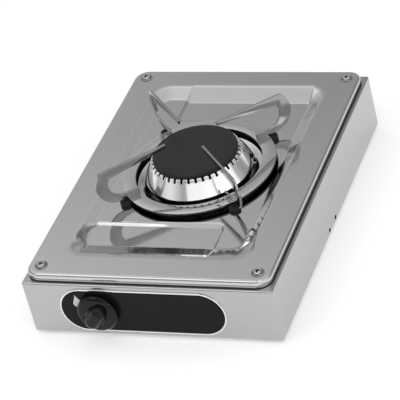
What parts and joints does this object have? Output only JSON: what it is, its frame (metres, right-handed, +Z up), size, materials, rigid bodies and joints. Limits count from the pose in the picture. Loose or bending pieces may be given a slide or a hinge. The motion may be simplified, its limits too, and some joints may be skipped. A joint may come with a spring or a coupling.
{
  "type": "single burner gas stove",
  "caption": "Tabletop gas stove in a low steel box: pressed mirror top plate, round burner with cap and crown, hooked pan support on a ring, side-set push-and-turn tap knob.",
  "frame": {"origin": "middle of the overall box, on the surface that the rubber feet stand on", "axes": "+X to the right seen from the front, +Y to the back, +Z up"},
  "size_m": [0.22, 0.333, 0.0979],
  "materials": {
    "satin_stainless": "satin stainless steel sheet",
    "polished_stainless": "mirror-polished stainless steel",
    "zinc_steel": "zinc-plated steel",
    "cast_alloy": "cast aluminium alloy, as cast",
    "polished_alloy": "turned and polished aluminium alloy",
    "black_enamel": "black vitreous enamel on pressed steel",
    "brass": "turned brass",
    "copper_pipe": "drawn copper pipe",
    "black_rubber": "moulded black rubber",
    "black_gloss": "gloss black plate",
    "black_abs": "moulded black plastic"
  },
  "bodies": {
    "stove_body": {"housing": "satin_stainless", "base_plate": "satin_stainless", "top_plate": "polished_stainless", "panel_trim": "polished_stainless", "cup_washers": "polished_stainless", "top_screws": "polished_stainless", "base_screws": "zinc_steel", "foot_screws": "zinc_steel", "clip_nuts": "zinc_steel", "burner_bracket": "zinc_steel", "bracket_screws": "zinc_steel", "cup_screws": "zinc_steel", "bonnet_screws": "zinc_steel", "panel_nut": "zinc_steel", "valve_spring": "zinc_steel", "burner_cup": "cast_alloy", "burner_crown": "polished_alloy", "injector": "brass", "injector_elbow": "brass", "valve_bonnet": "brass", "valve_body": "brass", "inlet_nut": "brass", "supply_nuts": "brass", "inlet_pipe": "copper_pipe", "supply_pipe": "copper_pipe", "foot_front_left": "black_rubber", "foot_rear_left": "black_rubber", "foot_front_right": "black_rubber", "foot_rear_right": "black_rubber", "inlet_grommet": "black_rubber", "control_panel": "black_gloss"},
    "push_stem": {"spring_seat": "zinc_steel"},
    "control_knob": {"knob": "black_abs", "valve_spindle": "brass"},
    "tap_plug": {"valve_plug": "brass"},
    "pan_support": {"pan_ring": "polished_stainless", "finger_rear_right": "polished_stainless", "finger_rear_left": "polished_stainless", "finger_front_left": "polished_stainless", "finger_front_right": "polished_stainless", "pan_foot_rear_right": "black_rubber", "pan_foot_rear_left": "black_rubber", "pan_foot_front_left": "black_rubber", "pan_foot_front_right": "black_rubber"},
    "loose_cap": {"burner_cap": "black_enamel"}
  },
  "joints": [
    {"name": "knob_push", "type": "slide", "parent": "stove_body", "child": "push_stem", "axis": [0, 1, 0], "range_m": [0, 0.003], "stiffness_N_per_m": 500, "springref_m": -0.004, "deforming": ["valve_spring"]},
    {"name": "knob_turn", "type": "hinge", "parent": "push_stem", "child": "control_knob", "pos_m": [-0.045, -0.15, 0.0295], "axis": [0, -1, 0], "range_deg": [-140, 40]},
    {"name": "plug_turn", "type": "hinge", "parent": "stove_body", "child": "tap_plug", "pos_m": [-0.045, -0.118, 0.0295], "axis": [0, -1, 0], "range_deg": [-140, 40]},
    {"name": "pan_support_lift", "type": "slide", "parent": "stove_body", "child": "pan_support", "axis": [0, 0, 1], "range_m": [0, 0.06]},
    {"name": "burner_cap_lift", "type": "slide", "parent": "stove_body", "child": "loose_cap", "axis": [0, 0, 1], "range_m": [0, 0.008]}
  ],
  "couplings": [
    {"joint": "plug_turn", "follows": "knob_turn", "ratio": 1}
  ]
}
